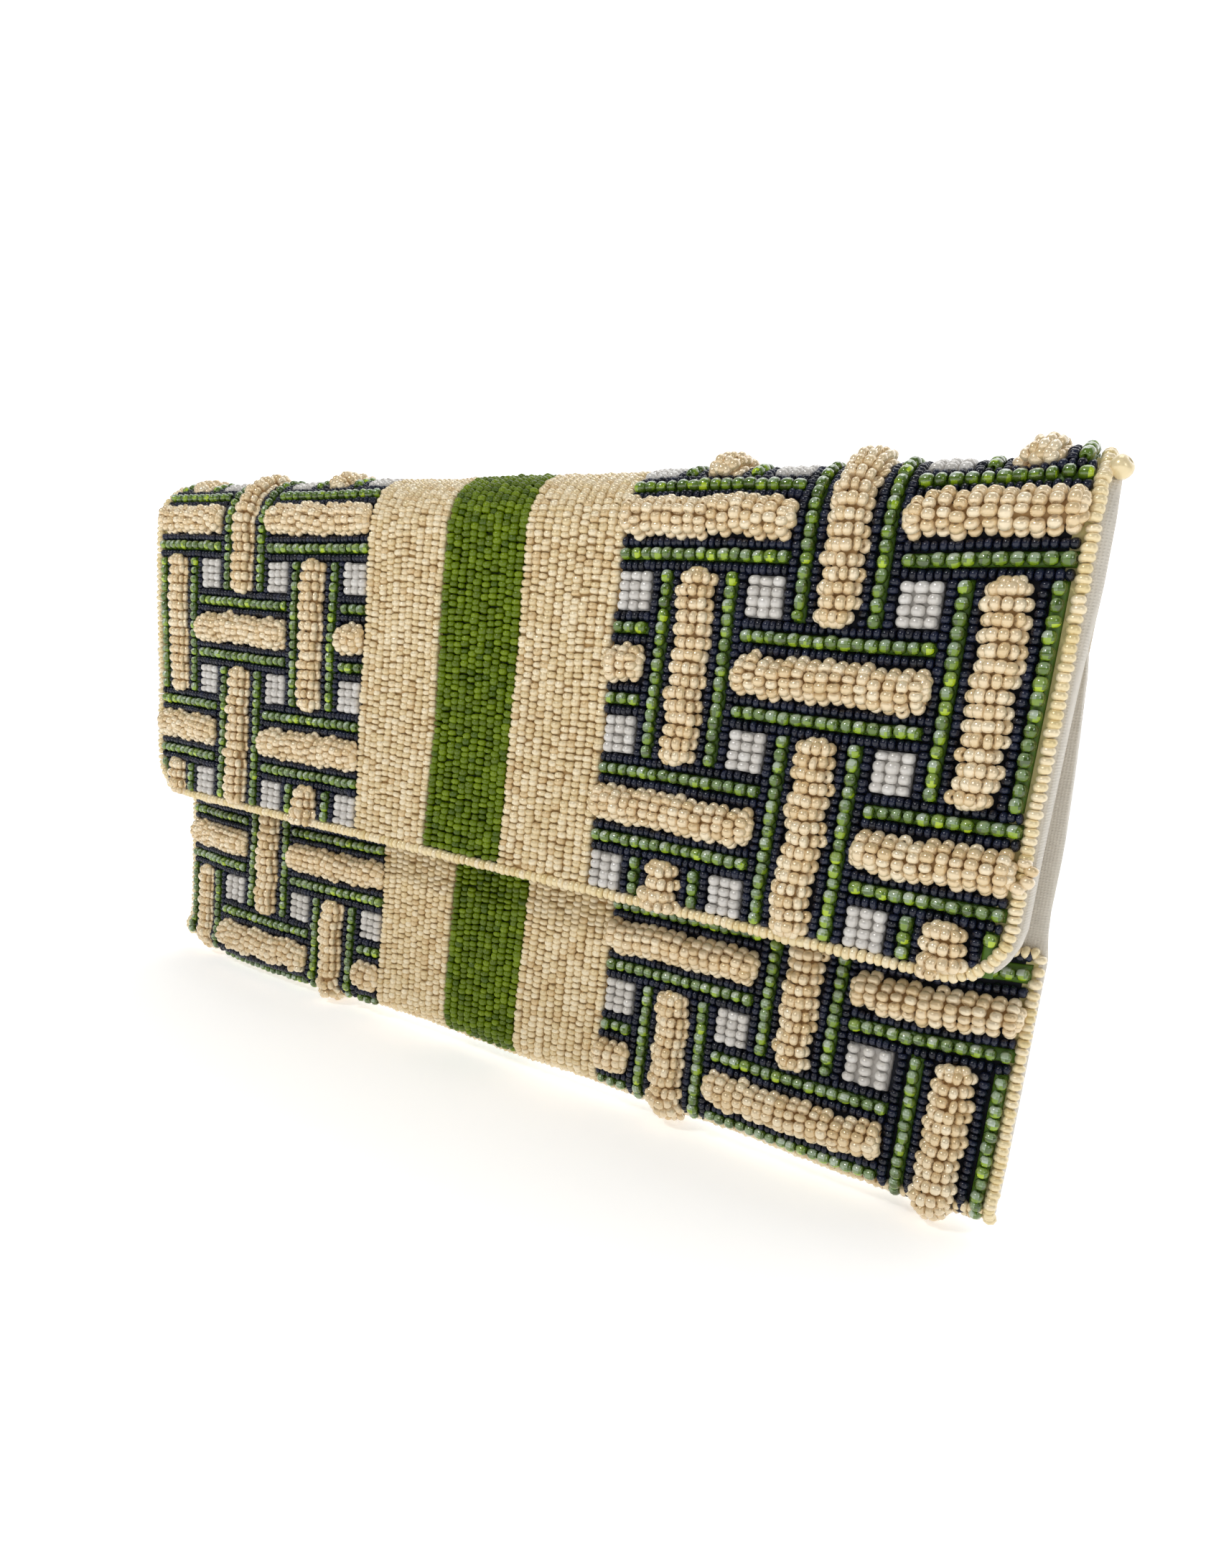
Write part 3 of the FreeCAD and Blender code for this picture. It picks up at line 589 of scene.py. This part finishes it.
def weave(side, low, high, levels, gap_rows, slant=0.0):
    """One woven block between two lengths. levels lists (length, number)."""
    for column, x in enumerate(COLUMNS):
        holes = []
        for along, number in levels:
            if not over(column + 1, number):
                middle = along + slant * side * x
                holes.append((middle - HALF_BUNDLE, middle + HALF_BUNDLE))
        for start, end in spans(low, high, holes):
            bar(side * x, start + 0.2, side * x, end - 0.2, True)
            for kind, offset in LANES:
                for sign in (-1, 1):
                    if kind == "navy" and sign * offset + x > NAVY_END:
                        continue
                    where = side * (x + sign * offset)
                    lane(kind, where, start, where, end)
    for along, number in levels:
        holes = [(x - HALF_BUNDLE, x + HALF_BUNDLE) for column, x in enumerate(COLUMNS)
                 if over(column + 1, number)]
        for start, end in spans(PLAIN_HALF, BAR_END, holes):
            a0 = along + slant * side * start
            a1 = along + slant * side * end
            if low - 2.0 < along < high + 2.0:
                bar(side * (start + 0.2), a0, side * (end - 0.2), a1, False)
            for kind, offset in LANES:
                for sign in (-1, 1):
                    if low + 0.4 < along + sign * offset < high - 0.4:
                        lane(kind, side * start, a0 + sign * offset, side * end, a1 + sign * offset)
    for x in GAPS:
        for along in gap_rows:
            white_square(side * x, along + slant * side * x, low)


def plain_columns(kind, x_low, x_high, number):
    """Columns of beads threaded along the strip, each with its own start and tension."""
    look = BEADS["plain"]
    pitch = (x_high - x_low) / number
    for i in range(number):
        x = x_low + (i + 0.5) * pitch
        step = look["pitch"] * (1 + chance.normal(0, 0.012))
        start = FLAP_BEAD_LOW + chance.uniform(0.5, 1.0) * step * 0.9
        many = int((FRONT_BEAD_END - start) / step)
        along = start + np.arange(many) * step + chance.normal(0, 0.06, many)
        sway = 0.12 * np.sin(along / 6.0 + chance.uniform(0, 6.28))
        clear = np.abs(along - HEEL_ROWS) > HEEL_CLEAR
        put(kind, x + sway[clear], along[clear], look["lift"], (0, 1, 0), look["radius"], look["length"],
            loose=1.25)


for side in (-1, 1):
    weave(side, FLAP_BEAD_LOW, WEAVE_END, [(a, k) for k, a in enumerate(LEVELS)], GAP_ROWS)

levels_front = [(FRONT_LEVELS[0], 7), (FRONT_LEVELS[1], 8)]
for side in (-1, 1):
    weave(side, WEAVE_RESTART, FRONT_BEAD_END, levels_front, FRONT_GAP_ROWS, FRONT_SLANT)
    for column in (0, 2):
        x = side * COLUMNS[column]
        bar(x, WEAVE_END, x, WEAVE_RESTART, True)
        for kind, offset in LANES[:2]:
            for sign in (-1, 1):
                row(kind, x + sign * offset, WEAVE_END, x + sign * offset, HEEL_ROWS - HEEL_CLEAR)

plain_columns("plain", -PLAIN_HALF, -STRIPE_HALF, PLAIN_NUMBER)
plain_columns("plain", STRIPE_HALF, PLAIN_HALF, PLAIN_NUMBER)
plain_columns("stripe", -STRIPE_HALF, STRIPE_HALF, STRIPE_NUMBER)

# beige beads fill the bottom between its four bars, up to two level rows under the front panel
for side in (-1, 1):
    for start, end in ((PLAIN_HALF, 45.2), (62.0, 101.2)):
        number = int(round((end - start) / BASE_PITCH))
        for i in range(number):
            x = side * (start + (i + 0.5) * (end - start) / number)
            row("base", x, WEAVE_END + 0.2, x, HEEL_ROWS - HEEL_CLEAR)
for start, end in ((-118.0, -113.2), (-106.0, -57.2), (-50.0, 50.0), (57.2, 106.0), (113.2, 118.0)):
    for along in (HEEL_ROWS - 1.1, HEEL_ROWS + 1.1):
        row("base", start, along + FRONT_SLANT * start, end, along + FRONT_SLANT * end, HEEL_BEADS)


def edging():
    """Beads threaded along every free edge."""
    side_inset = 2.3
    low_inset = 1.1
    rim = HALF_WIDTH - side_inset
    bend_x = CORNER - side_inset
    bend_a = CORNER - low_inset
    low = FLAP_LOW + low_inset
    top = FRONT_BEAD_TOP - low_inset
    look = BEADS["edge"]
    row("edge", -rim + bend_x, low, rim - bend_x, low)
    for side in (-1, 1):
        number = int(round((bend_x + bend_a) / 2 * math.pi / 2 / look["pitch"]))
        turn = (np.arange(number) + 0.5) / number * math.pi / 2
        put("edge", side * (rim - bend_x + bend_x * np.sin(turn)), low + bend_a - bend_a * np.cos(turn),
            look["lift"], np.stack([side * np.cos(turn), np.sin(turn), turn * 0], axis=1),
            look["radius"], look["length"])
        row("edge", side * rim, low + bend_a, side * rim, BACK_END)
        row("edge", side * rim, BACK_END, side * rim, top)
    row("edge", -rim, top, rim, top)
    # one large bead at the right end of the top
    put("edge", 121.7, FOLD_START + 11.2, -0.7, (0.75, 0.25, 0.6), 1.95, 3.0, loose=0.3)


edging()

# the outer and inner upright bars run over the flap's lower edge, and one level bar over its side
for side in (-1, 1):
    for column in (0, 2):
        for along, squeeze in ((FLAP_LOW + 3.4, 1.12), (FLAP_LOW + 1.5, 1.18)):
            bar_string(side * COLUMNS[column], along, True, squeeze)
put("bar", across=[119.4, 120.7, 120.9, 119.8], along=[68.7, 69.9, 71.7, 72.9], lift=[0.5, 0.2, 0.1, 0.4],
    axis=(0.3, 1, 0), radius=1.2, length=1.8)

# pieces are cut where the bodies meet: (name, from, to, fine beads)
ZONES = [
    ("flap", 0.0, FOLD_START, True),
    ("top_front", FOLD_START, FOLD_MIDDLE, True),
    ("top_back", FOLD_MIDDLE, BACK_START, False),
    ("back", BACK_START, BACK_END, False),
    ("bottom", BACK_END, MOUTH_START, False),
    ("front_low", MOUTH_START, MOUTH_END, True),
    ("front", MOUTH_END, math.inf, True),
]


def settle(piece, zone):
    """Fixes a piece of one zone to its body; a piece between two bodies keeps its place in the frame,
    unattached.
    """
    if zone == "flap":
        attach(piece, "flap")
    elif zone == "top_front":
        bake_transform(piece)
    elif zone == "top_back":
        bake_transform(piece)
    elif zone in ("back", "bottom"):
        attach(piece, "pouch")
    elif zone == "front_low":
        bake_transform(piece)
    else:
        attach(piece, "front")


def in_corner(across, along):
    """True outside the row of edge beads at the flap's rounded corners."""
    side_inset = 3.7
    low_inset = 2.5
    u = np.clip(np.abs(across) - (HALF_WIDTH - CORNER), 0, None) / (CORNER - side_inset)
    v = np.clip(FLAP_LOW + CORNER - along, 0, None) / (CORNER - low_inset)
    return (u > 0) & (v > 0) & (u * u + v * v > 1.0)


bead_pieces = {}
PALETTES = {"plain": (BEIGE, None), "stripe": (STRIPE, None), "navy": (NAVY, None), "bar": (BAR, None),
            "white": (WHITE, None), "edge": (EDGE, None), "base": (BEIGE, None),
            "green": (GREEN_PAINTED_HIGHLIGHT, GREEN_GLASS + GREEN_PAINTED_GLOW + GREEN_PAINTED_SHEEN)}
SPLIT = ("plain", "navy", "green", "bar")     # kinds with so many beads that each side is a piece
for kind in stock:
    joined = {key: np.concatenate([entry[key] for entry in stock[kind]]) for key in stock[kind][0]}
    if kind != "edge":
        inside = ~in_corner(joined["across"], joined["along"])
        joined = {key: values[inside] for key, values in joined.items()}
    for zone, low, high, fine in ZONES:
        inside = (joined["along"] >= low) & (joined["along"] < high)
        halves = [("left", joined["across"] < 0), ("right", joined["across"] >= 0)]
        if kind not in SPLIT:
            halves = [("both", np.ones_like(inside))]
        for half, chosen in halves:
            keep = inside & chosen
            if not keep.any():
                continue
            name = "_".join([zone, kind, "beads", half])
            choice, glass = PALETTES[kind]
            beads = {key: values[keep] for key, values in joined.items()}
            piece = bead_mesh(name, beads, choice, fine, glass)
            bead_pieces[name] = piece
            settle(piece, zone)


# ---------------------------------------------------------------- padding and threads under beads
def ridge_mesh(name, runs, half, rise, paint, zone_low, zone_high):
    """Half-round ridges along straight runs, cut to one zone."""
    points = []
    faces = []
    section = np.radians(np.linspace(0, 180, 7))
    for x0, a0, x1, a1 in runs:
        run = math.hypot(x1 - x0, a1 - a0)
        if abs(a1 - a0) > abs(x1 - x0):
            low = max(min(a0, a1), zone_low)
            high = min(max(a0, a1), zone_high)
            if high - low < 0.3:
                continue
            ends = [(low - a0) / (a1 - a0), (high - a0) / (a1 - a0)]
        else:
            if not zone_low <= (a0 + a1) / 2 < zone_high:
                continue
            ends = [0.0, 1.0]
        number = max(2, int(run * abs(ends[1] - ends[0]) / 2.0) + 1)
        t = np.linspace(ends[0], ends[1], number)
        x = x0 + (x1 - x0) * t
        a = a0 + (a1 - a0) * t
        cross_x = -(a1 - a0) / run
        cross_a = (x1 - x0) / run
        offset = half * np.cos(section)
        lift = CLOTH_LIFT + rise * np.sin(section)
        grid_x = x[:, None] + cross_x * offset[None, :]
        grid_a = a[:, None] + cross_a * offset[None, :]
        grid_l = np.broadcast_to(lift[None, :], grid_x.shape)
        start = sum(len(p) for p in points)
        points.append(spot(grid_x.ravel(), grid_a.ravel(), grid_l.ravel()))
        wide = len(section)
        for i in range(number - 1):
            for j in range(wide):
                following = (j + 1) % wide
                faces.append((start + i * wide + j, start + i * wide + following,
                              start + (i + 1) * wide + following, start + (i + 1) * wide + j))
        for end in (0, number - 1):
            ring = [start + end * wide + j for j in range(wide)]
            order = ring if end == 0 else ring[::-1]
            for j in range(1, wide - 2, 2):
                faces.append((order[0], order[j + 2], order[j + 1], order[j]))
    if not points:
        return None
    points = np.concatenate(points)
    faces = np.array(faces)
    return mesh_object(name, points, faces, [paint], np.zeros(len(faces), int))


RIDGES = [
    ("bar_padding", pads, 2.2, 2.1, PAD, "wadding"),
    ("white_thread", under_white, 3.6, 0.5, UNDER_WHITE, "white_beads"),
    # the green thread's bright colour is partly painted glow under the green glass beads
    ("green_thread", under_green, 1.2, 0.6, THREAD_AND_PAINTED_GLOW_UNDER_GREEN, "lane_beads"),
]
for zone, low, high, _ in ZONES:
    for ending, runs, half, rise, paint, slot in RIDGES:
        piece = ridge_mesh("_".join([zone, ending]), runs, half, rise, paint, low, high)
        if piece:
            settle(piece, zone)


# ---------------------------------------------------------------- cloth shells
def trim(a):
    """Share by which the cloth is narrower on the lower flap and on the bare front panel."""
    on_flap = FLAP_INSET * (1 - ramp(a, 100.0, 20.0))
    on_front = FRONT_INSET * np.clip((a - FRONT_ZERO - 72.0) / 36.0, 0, 1)
    return on_flap + on_front


def inner_lift(a):
    """The inner face narrows from the padded flap to the thin back."""
    return FLAP_IN + (WALL_IN - FLAP_IN) * ramp(a, FOLD_START, ROLL)


def bead_region(x, a):
    """Cloth slots: 0 cream, 2 under plain, 3 under stripe, 4 under the woven block, 5 at the edge."""
    reach = np.abs(x)
    slot = np.select([reach < STRIPE_HALF, reach < PLAIN_HALF, reach < BLOCK_OUT, reach < EDGE_OUT],
                     [3, 2, 4, 5], 0)
    bare = (a < FLAP_LOW + 1.0) | (a > FRONT_BEAD_TOP) | in_corner(x, a)
    return np.where(bare, 0, slot)


def round_corner(x, a, half, low, radius):
    """Turns the square lower corners into quarter discs."""
    u = np.clip((np.abs(x) - (half - radius)) / radius, 0, 1)
    v = np.clip(((low + radius) - a) / radius, 0, 1)
    both = (u > 0) & (v > 0)
    new_u = u * np.sqrt(1 - v * v / 2)
    new_v = v * np.sqrt(1 - u * u / 2)
    x = np.where(both, np.sign(x) * (half - radius + radius * new_u), x)
    a = np.where(both, low + radius - radius * new_v, a)
    return x, a


def grid_faces(rows, columns):
    """Quads of a grid whose points are numbered row by row."""
    i, j = np.meshgrid(np.arange(rows - 1), np.arange(columns - 1), indexing="ij")
    first = (i * columns + j).ravel()
    return np.stack([first, first + columns, first + columns + 1, first + 1], axis=1)


def shell(name, xs, lengths, rounded, corner=0.0, top_corner=0.0):
    """A padded plate on the strip: outer and inner faces joined by rounded edges.

    rounded names the edges that close in a half round: any of "sides", "low" and "high".
    """
    cuts = [end for end, which in ((lengths.min() + CUT_STEP, "low"), (lengths.max() - CUT_STEP, "high"))
            if which not in rounded]
    lengths = np.unique(np.concatenate([lengths, cuts]))
    grid_x, grid_a = np.meshgrid(xs, lengths, indexing="ij")
    grid_x = grid_x * (1 - trim(grid_a))
    in_lift = inner_lift(grid_a)
    inset = np.full_like(grid_x, math.inf)
    if "sides" in rounded:
        inset = np.minimum(inset, xs.max() - np.abs(grid_x))
    if "low" in rounded:
        inset = np.minimum(inset, grid_a - lengths.min())
    if "high" in rounded:
        inset = np.minimum(inset, lengths.max() - grid_a)
    bend = (CLOTH_LIFT - in_lift) / 2
    short = np.clip(bend - inset, 0, None)
    drop = 0.9 * (bend - np.sqrt(np.clip(bend * bend - short * short, 0, None)))
    out_lift = CLOTH_LIFT - drop
    in_lift = in_lift + drop
    if corner:
        grid_x, grid_a = round_corner(grid_x, grid_a, xs.max(), lengths.min(), corner)
    if top_corner:
        grid_x, below = round_corner(grid_x, -grid_a, xs.max(), -lengths.max(), top_corner)
        grid_a = -below
    nx, na = grid_x.shape
    count = nx * na
    points = np.concatenate([spot(grid_x.ravel(), grid_a.ravel(), out_lift.ravel()),
                             spot(grid_x.ravel(), grid_a.ravel(), in_lift.ravel())])
    face = grid_faces(nx, na)
    middle_x = (grid_x[:-1, :-1] + grid_x[1:, 1:]) / 2
    middle_a = (grid_a[:-1, :-1] + grid_a[1:, 1:]) / 2
    slots = [bead_region(middle_x, middle_a).ravel(), np.full(len(face), CLOTH_PALETTE.index(LINING))]
    faces = [face, face[:, ::-1] + count]
    rims = [np.arange(nx) * na, np.arange(nx)[::-1] * na + na - 1,
            np.arange(na)[::-1], (nx - 1) * na + np.arange(na)]
    for rim in rims:
        strip_faces = np.stack([rim[:-1], rim[:-1] + count, rim[1:] + count, rim[1:]], axis=1)
        faces.append(strip_faces)
        slots.append(np.zeros(len(strip_faces), int))
    return mesh_object(name, points, np.concatenate(faces), CLOTH_PALETTE, np.concatenate(slots))


def steps(low, high, pitch, fine_low=False, fine_high=False):
    """Positions from low to high, closer together at an end that is rounded."""
    near = np.array([0.15, 0.5, 1.0, 1.7, 2.55])
    first = [low] + list(low + near) if fine_low else [low]
    last = list(high - near[::-1]) + [high] if fine_high else [high]
    number = max(1, int(round((last[0] - first[-1]) / pitch)))
    middle = list(np.linspace(first[-1], last[0], number + 1)[1:-1])
    return np.array(first + middle + last)


CLOTH_PALETTE = [CLOTH, LINING, UNDER_PLAIN, UNDER_STRIPE, UNDER_BLOCK, UNDER_EDGE]
xs = steps(-HALF_WIDTH, HALF_WIDTH, 4.0, True, True)
borders = [BLOCK_OUT, PLAIN_HALF, STRIPE_HALF]
xs = np.unique(np.concatenate([xs, borders, [-x for x in borders]]))

FRONT_END = FRONT_ZERO + FRONT_TOP
flap_pad = shell("flap_pad", xs, steps(FLAP_LOW, FOLD_START, 4.0, fine_low=True), ("sides", "low"),
                 corner=CORNER)
top_front_pad = shell("top_front_pad", xs, steps(FOLD_START, FOLD_MIDDLE, 1.3), ("sides",))
top_back_pad = shell("top_back_pad", xs, steps(FOLD_MIDDLE, BACK_START, 1.3), ("sides",))
back_wall = shell("back_wall", xs, steps(BACK_START, BACK_END, 4.0), ("sides",))
bottom_wall = shell("bottom_wall", xs, steps(BACK_END, MOUTH_START, 1.2), ("sides",))
front_low_wall = shell("front_low_wall", xs, steps(MOUTH_START, MOUTH_END, 1.2), ("sides",))
front_wall = shell("front_wall", xs, steps(MOUTH_END, FRONT_END, 4.0, fine_high=True), ("sides", "high"),
                   top_corner=FRONT_TOP_CORNER)

for piece, zone, slot in ((flap_pad, "flap", "wadding"), (top_front_pad, "top_front", "wadding"),
                          (top_back_pad, "top_back", "wadding"), (back_wall, "back", "cream_cloth"),
                          (bottom_wall, "bottom", "cream_cloth"),
                          (front_low_wall, "front_low", "cream_cloth"),
                          (front_wall, "front", "cream_cloth")):
    settle(piece, zone)


# ---------------------------------------------------------------- side gussets
def gusset(name, side):
    """A thin cloth wall folded inwards between the back and the front panel."""
    heights = np.linspace(7.0, 112.0, 27)
    fold = np.linspace(0, 1, 13)
    back_y = 9.0
    points = []
    for z in heights:
        deep = 11.0 * (0.82 + 0.18 * math.sin(z / 17.0)) * ramp(z, 2.0, 14.0)
        front_y = 5.4 - lean(FRONT_ZERO + z)
        reach = 119.4 - 3.0 * ramp(z, 88.0, 24.0)
        for t in fold:
            bend = math.sin(t * math.pi) ** 0.8
            points.append((side * (reach - 2.4 * t - deep * bend), front_y + (back_y - front_y) * t, z))
    face = np.roll(grid_faces(len(heights), len(fold))[:, ::-1], 1, axis=1)
    piece = mesh_object(name, np.array(points) * MM, face, [CLOTH], np.zeros(len(face), int))
    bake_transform(piece)
    return piece


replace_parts(gusset("side_fold_left", -1), "gusset_left")
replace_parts(gusset("side_fold_right", 1), "gusset_right")


# ---------------------------------------------------------------- slip pocket
def pocket():
    """A flat pocket sewn to the back lining, its mouth slightly open."""
    half = 60.0
    low = 40.0
    tall = 58.0
    across = np.linspace(-half, half, 31)
    up = np.linspace(low, low + tall, 16)
    grid_x, grid_z = np.meshgrid(across, up, indexing="ij")
    side_share = 1 - (np.abs(grid_x) / half) ** 4
    rise = np.clip((grid_z - low) / tall, 0, 1)
    y = 8.6 - 0.9 * side_share * rise ** 2
    points = np.stack([grid_x, y, grid_z], axis=-1).reshape(-1, 3) * MM
    face = grid_faces(*grid_x.shape)
    piece = mesh_object("inner_pocket", points, face, [LINING], np.zeros(len(face), int))
    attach(piece, "pouch")
    return piece


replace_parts(pocket(), "slip_pocket")

# ---------------------------------------------------------------- what stands for the CAD pieces
NODE_ENDINGS = {"plain": "plain_beads", "stripe": "stripe_beads", "white": "white_beads", "bar": "bars",
                "edge": "edging"}
for zone, part in (("flap", "flap"), ("top_front", "spine"), ("back", "back"), ("front", "front")):
    for kind, ending in NODE_ENDINGS.items():
        half = "left" if kind in SPLIT else "both"
        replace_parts(bead_pieces["_".join([zone, kind, "beads", half])], "_".join([part, ending]))
    for half in ("left", "right"):
        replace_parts(bead_pieces["_".join([zone, "navy_beads", half])], "_".join([part, "lanes", half]))
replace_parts(bead_pieces["bottom_plain_beads_left"], "bottom_beads")
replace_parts(bead_pieces["bottom_stripe_beads_both"], "bottom_stripe_beads")
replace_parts(bead_pieces["bottom_bar_beads_left"], "bottom_bars")
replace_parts(flap_pad, "flap_cloth", "flap_board", "flap_wadding", "flap_lining", "snap_stud_washer")
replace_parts(top_front_pad, "spine_cloth", "spine_stiffener", "spine_lining")
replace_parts(back_wall, "back_cloth", "back_board", "back_lining")
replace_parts(bottom_wall, "bottom_cloth", "bottom_board", "bottom_lining")
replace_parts(front_wall, "front_cloth", "front_board", "front_lining", "snap_socket_washer")
for node in ("snap_stud", "snap_socket"):
    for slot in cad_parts[node].material_slots:
        slot.material = METAL

# ---------------------------------------------------------------- studio
bpy.ops.mesh.primitive_plane_add(size=60.0, location=(0, 0, -0.0002))
floor = bpy.context.object
floor.name = "studio_floor"
floor.data.materials.append(material("studio_white", (246, 246, 246), rough=0.9, shine=0.2, glow=0.5))
bpy.ops.mesh.primitive_plane_add(size=120.0, location=(0, 20.0, 0), rotation=(math.radians(90), 0, 0))
backdrop = bpy.context.object
backdrop.name = "studio_backdrop"
backdrop.data.materials.append(material("backdrop_white", (250, 250, 250), rough=1.0, glow=1.0))
bpy.ops.mesh.primitive_uv_sphere_add(segments=48, ring_count=24, radius=9.0)
dome = bpy.context.object
dome.name = "studio_dome"
dome.data.materials.append(backdrop.data.materials[0])
for kind_of_ray in ("diffuse", "glossy", "transmission", "volume_scatter", "shadow"):
    setattr(dome, "visible_" + kind_of_ray, False)

world = bpy.data.worlds.new("studio")
bpy.context.scene.world = world
world.use_nodes = True
background = world.node_tree.nodes["Background"]
background.inputs["Color"].default_value = (1.0, 0.995, 0.985, 1.0)
background.inputs["Strength"].default_value = 0.21
OBJECT_MIDDLE = Vector((0, 0, 0.07))


def area_light(name, place, width, height, power):
    """A rectangular lamp that looks at the purse."""
    data = bpy.data.lights.new(name, "AREA")
    data.shape = "RECTANGLE"
    data.size = width
    data.size_y = height
    data.energy = power
    lamp = bpy.data.objects.new(name, data)
    bpy.context.scene.collection.objects.link(lamp)
    lamp.location = place
    lamp.rotation_euler = (OBJECT_MIDDLE - Vector(place)).to_track_quat("-Z", "Y").to_euler()


area_light("key", (-0.45, -0.95, 0.95), 0.2, 0.2, 5.7)
area_light("fill", (0.9, -0.7, 0.5), 0.35, 0.35, 1.4)
area_light("top", (0.0, 0.2, 1.3), 0.6, 0.5, 2.6)

camera_data = bpy.data.cameras.new("camera")
camera = bpy.data.objects.new("camera", camera_data)
bpy.context.scene.collection.objects.link(camera)
camera.location = (0.15879, -0.19824, 0.09725)
camera.rotation_euler = [math.radians(angle) for angle in (77.069, -5.235, 38.013)]
camera_data.lens = 24.708
camera_data.shift_x = 0.0533
camera_data.shift_y = 0.0791
camera_data.clip_start = 0.01
bpy.context.scene.camera = camera
bpy.context.scene.view_settings.view_transform = "Standard"
